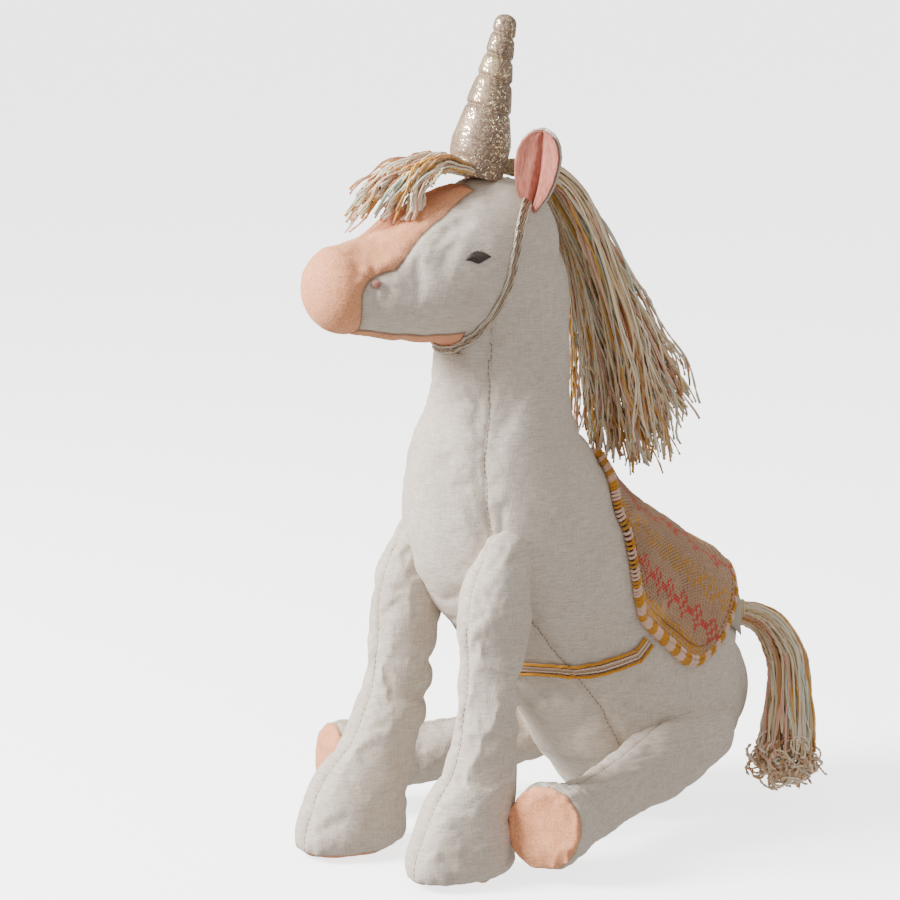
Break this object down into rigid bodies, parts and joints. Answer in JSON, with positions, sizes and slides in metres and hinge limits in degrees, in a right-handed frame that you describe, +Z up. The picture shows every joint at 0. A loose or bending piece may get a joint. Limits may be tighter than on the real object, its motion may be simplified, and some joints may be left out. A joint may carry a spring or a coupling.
{
  "type": "plush unicorn",
  "caption": "Sitting plush unicorn in undyed linen with velour muzzle and soles, yarn mane and tail, glitter horn on a chin elastic and a knitted saddle blanket.",
  "frame": {"origin": "middle of the flat seat under the belly gusset, on the floor plane", "axes": "+Z up, the unicorn faces -Y, +X to its left"},
  "size_m": [0.1882, 0.2902, 0.3976],
  "materials": {
    "linen": "matt slub weave",
    "velour": "short soft pile",
    "lining": "matt",
    "glitter": "metallic glitter weave",
    "knit": "stockinette knit",
    "binding": "whip stitched edge",
    "ribbon": "woven striped ribbon",
    "label": "matt twill",
    "yarn": "loose twisted yarn",
    "pink_thread": "thread",
    "elastic": "metallic braid",
    "eye": "gloss",
    "fill": "loose fibre"
  },
  "bodies": {
    "torso": {"Belly_Gusset_Linen": "linen", "Blank_Label_Tab": "label", "Blanket_Edge_Binding": "binding", "Chest_Gusset_Linen": "linen", "Girth_Ribbon": "ribbon", "Saddle_Blanket_Knit": "knit", "Torso_Side_Left_Linen": "linen", "Torso_Side_Right_Linen": "linen", "Torso_Stuffing": "fill"},
    "head": {"Chin_Elastic": "elastic", "Chin_Panel_Velour": "velour", "Eye_Left": "eye", "Eye_Right": "eye", "Face_Panel_Velour": "velour", "Forelock_Yarn": "yarn", "Head_Side_Left_Linen": "linen", "Head_Side_Right_Linen": "linen", "Head_Stuffing": "fill", "Mane_Yarn": "yarn", "Nostril_Knot_Left": "pink_thread", "Nostril_Knot_Right": "pink_thread"},
    "ear_left": {"Ear_Left_Lining": "lining", "Ear_Left_Outer_Linen": "linen"},
    "ear_right": {"Ear_Right_Lining": "lining", "Ear_Right_Outer_Linen": "linen"},
    "front_leg_left": {"Front_Leg_Left_Inner_Linen": "linen", "Front_Leg_Left_Outer_Linen": "linen", "Front_Leg_Left_Sole_Velour": "velour", "Front_Leg_Left_Stuffing": "fill"},
    "front_leg_right": {"Front_Leg_Right_Inner_Linen": "linen", "Front_Leg_Right_Outer_Linen": "linen", "Front_Leg_Right_Sole_Velour": "velour", "Front_Leg_Right_Stuffing": "fill"},
    "hind_leg_left": {"Hind_Leg_Left_Inner_Linen": "linen", "Hind_Leg_Left_Outer_Linen": "linen", "Hind_Leg_Left_Sole_Velour": "velour", "Hind_Leg_Left_Stuffing": "fill"},
    "hind_leg_right": {"Hind_Leg_Right_Inner_Linen": "linen", "Hind_Leg_Right_Outer_Linen": "linen", "Hind_Leg_Right_Sole_Velour": "velour", "Hind_Leg_Right_Stuffing": "fill"},
    "horn": {"Horn_Base_Felt": "glitter", "Horn_Glitter_Cover": "glitter", "Horn_Stuffing": "fill"},
    "tail": {"Tail_Wrap_Thread": "pink_thread", "Tail_Yarn": "yarn"}
  },
  "joints": [
    {"name": "neck_turn", "type": "hinge", "parent": "torso", "child": "head", "pos_m": [0, -0.099, 0.2415], "axis": [0, 0, 1], "range_deg": [-35, 35], "stiffness_Nm_per_rad": 0.12},
    {"name": "shoulder_left", "type": "hinge", "parent": "torso", "child": "front_leg_left", "pos_m": [0.036, -0.128, 0.146], "axis": [-1, 0, 0], "range_deg": [0, 40], "stiffness_Nm_per_rad": 0.6},
    {"name": "shoulder_right", "type": "hinge", "parent": "torso", "child": "front_leg_right", "pos_m": [-0.03, -0.128, 0.146], "axis": [-1, 0, 0], "range_deg": [-6, 40], "stiffness_Nm_per_rad": 0.6},
    {"name": "hip_left", "type": "hinge", "parent": "torso", "child": "hind_leg_left", "pos_m": [0.037, 0, 0.0385], "axis": [-1, 0, 0], "range_deg": [-2, 25], "stiffness_Nm_per_rad": 0.6},
    {"name": "hip_right", "type": "hinge", "parent": "torso", "child": "hind_leg_right", "pos_m": [-0.037, 0, 0.0385], "axis": [-1, 0, 0], "range_deg": [-2, 25], "stiffness_Nm_per_rad": 0.6},
    {"name": "tail_swing", "type": "hinge", "parent": "torso", "child": "tail", "pos_m": [0.004, 0.069, 0.084], "axis": [0, 0, 1], "range_deg": [0, 85]},
    {"name": "ear_left_fold", "type": "hinge", "parent": "head", "child": "ear_left", "pos_m": [0.02494, -0.10441, 0.3117], "axis": [0.8669, 0.4703, -0.165], "range_deg": [-25, 30], "stiffness_Nm_per_rad": 0.008},
    {"name": "ear_right_fold", "type": "hinge", "parent": "head", "child": "ear_right", "pos_m": [-0.02529, -0.09556, 0.3117], "axis": [0.6538, -0.7385, 0.165], "range_deg": [-25, 30], "stiffness_Nm_per_rad": 0.008},
    {"name": "horn_tilt", "type": "hinge", "parent": "head", "child": "horn", "pos_m": [-0.00234, -0.11229, 0.3292], "axis": [0.9848, -0.1736, 0], "range_deg": [-2, 18], "stiffness_Nm_per_rad": 0.03}
  ]
}
